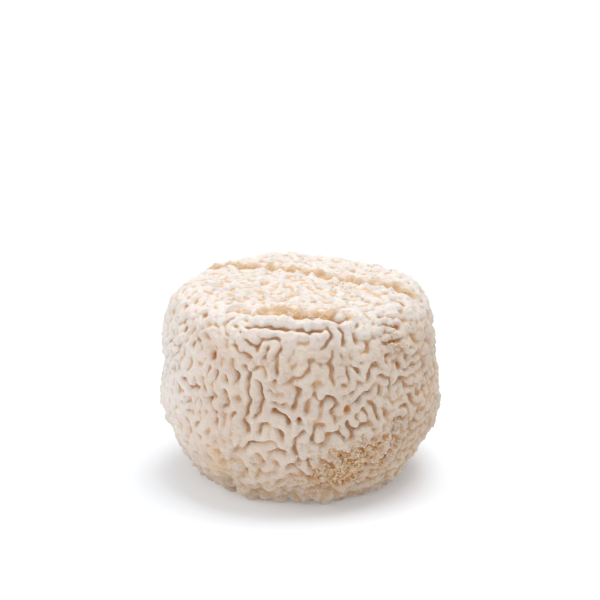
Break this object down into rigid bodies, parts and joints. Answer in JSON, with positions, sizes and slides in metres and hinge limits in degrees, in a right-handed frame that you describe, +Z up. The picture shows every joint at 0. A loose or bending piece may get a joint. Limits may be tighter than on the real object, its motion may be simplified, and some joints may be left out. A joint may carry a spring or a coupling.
{
  "type": "crottin goat cheese",
  "caption": "Small squat drum of ripened goat's cheese, whole, with a wrinkled natural rind, a creased flat top and a narrower flat foot that it rests on.",
  "frame": {"origin": "on the surface that it rests on, under the middle of its bounding box", "axes": "+Z up along the drum's axis, -Y toward the side that the picture shows"},
  "size_m": [0.0498, 0.0502, 0.0366],
  "materials": {
    "rind": "dry, matt, pale cream natural rind with plump wrinkles and darker straw to tan grooves"
  },
  "bodies": {
    "root": {"crottin": "rind"}
  },
  "joints": []
}
